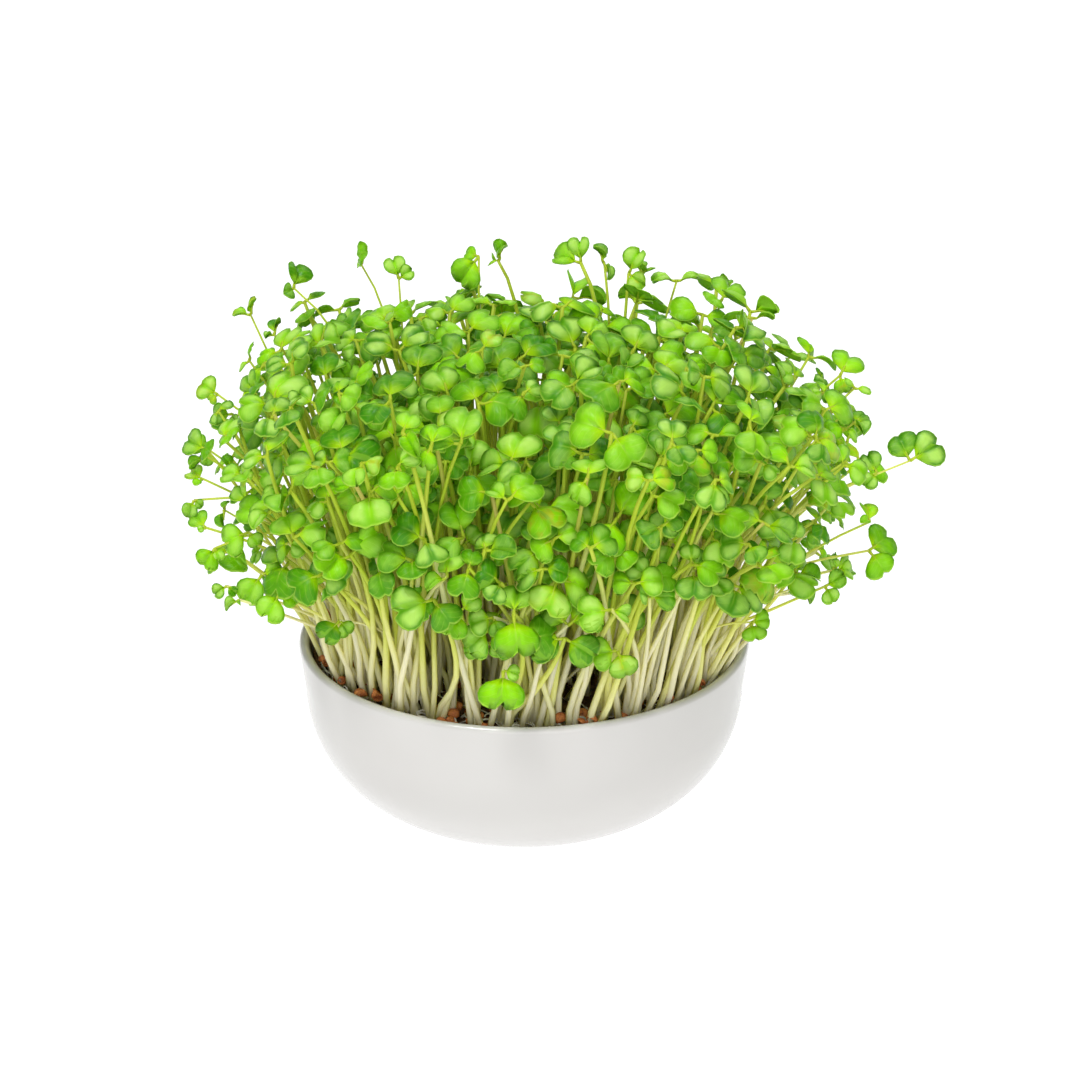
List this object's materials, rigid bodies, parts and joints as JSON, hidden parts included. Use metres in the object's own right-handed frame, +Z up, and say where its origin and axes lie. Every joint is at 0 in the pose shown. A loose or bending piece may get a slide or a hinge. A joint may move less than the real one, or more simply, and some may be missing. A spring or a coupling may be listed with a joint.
{
  "type": "potted radish microgreens",
  "caption": "Dense stand of young radish seedlings with paired notched leaves, growing in dark soil in a round white glazed bowl.",
  "frame": {"origin": "middle of the bowl's flat base, on the surface that the bowl stands on", "axes": "+Z up out of the bowl; the pictured side faces -Y; +X to the right in the picture, along the stand's longest reach"},
  "size_m": [0.2362, 0.1802, 0.1701],
  "materials": {
    "glazed_bowl": "gloss",
    "soil": "matte",
    "seedling": "satin"
  },
  "bodies": {
    "root": {"bowl": "glazed_bowl", "potting_soil": "soil", "seedling_tuft_01": "seedling", "seedling_tuft_02": "seedling", "seedling_tuft_03": "seedling", "seedling_tuft_04": "seedling", "seedling_tuft_05": "seedling", "seedling_tuft_06": "seedling", "seedling_tuft_07": "seedling", "seedling_tuft_08": "seedling", "seedling_tuft_09": "seedling", "seedling_tuft_10": "seedling", "seedling_tuft_11": "seedling", "seedling_tuft_12": "seedling", "seedling_tuft_13": "seedling", "seedling_tuft_14": "seedling", "seedling_tuft_15": "seedling", "seedling_tuft_16": "seedling", "seedling_tuft_17": "seedling", "seedling_tuft_18": "seedling", "seedling_tuft_19": "seedling", "seedling_tuft_20": "seedling", "seedling_tuft_21": "seedling", "seedling_tuft_22": "seedling", "seedling_tuft_23": "seedling", "seedling_tuft_24": "seedling", "seedling_tuft_25": "seedling", "seedling_tuft_26": "seedling", "seedling_tuft_27": "seedling", "seedling_tuft_28": "seedling", "seedling_tuft_29": "seedling", "seedling_tuft_30": "seedling", "seedling_tuft_31": "seedling", "seedling_tuft_32": "seedling", "seedling_tuft_33": "seedling", "seedling_tuft_34": "seedling", "seedling_tuft_35": "seedling", "seedling_tuft_36": "seedling", "seedling_tuft_37": "seedling", "seedling_tuft_38": "seedling", "seedling_tuft_39": "seedling", "seedling_tuft_40": "seedling", "seedling_tuft_41": "seedling", "seedling_tuft_42": "seedling", "seedling_tuft_43": "seedling"}
  },
  "joints": []
}
